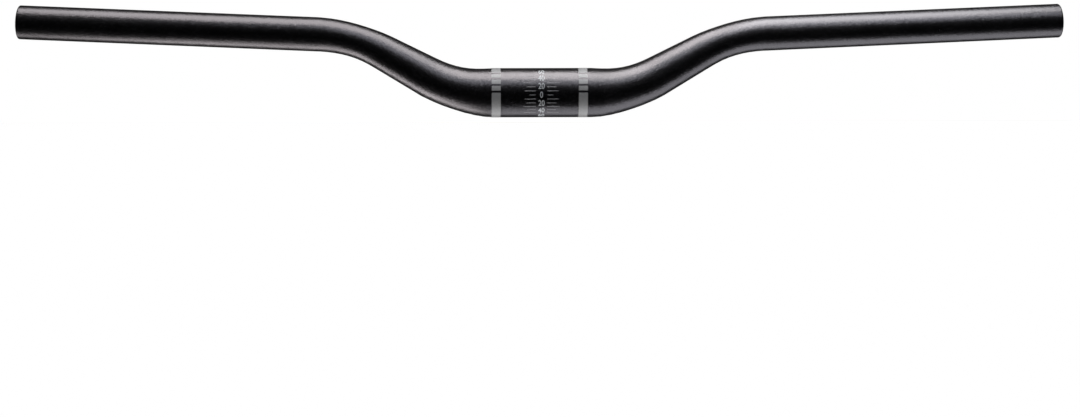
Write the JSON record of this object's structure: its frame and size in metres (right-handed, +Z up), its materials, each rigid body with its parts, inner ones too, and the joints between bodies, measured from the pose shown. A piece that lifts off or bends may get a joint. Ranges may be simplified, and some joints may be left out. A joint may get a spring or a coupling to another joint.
{
  "type": "riser handlebar",
  "caption": "Satin black aluminium riser handlebar: a swaged tube with a thick straight stem clamp, bends that lift it to swept-back straight grips, and open ends.",
  "frame": {"origin": "middle of the stem clamp, on the clamp's axis", "axes": "+X along the clamp axis to the right as seen from the front, +Y backwards, the way the ends sweep, +Z up, the way the bar rises"},
  "size_m": [0.685, 0.0683, 0.0736],
  "materials": {
    "black_tube": "satin",
    "silver_print": "matte",
    "scale_print": "matte"
  },
  "bodies": {
    "root": {"handlebar": "black_tube"}
  },
  "joints": []
}
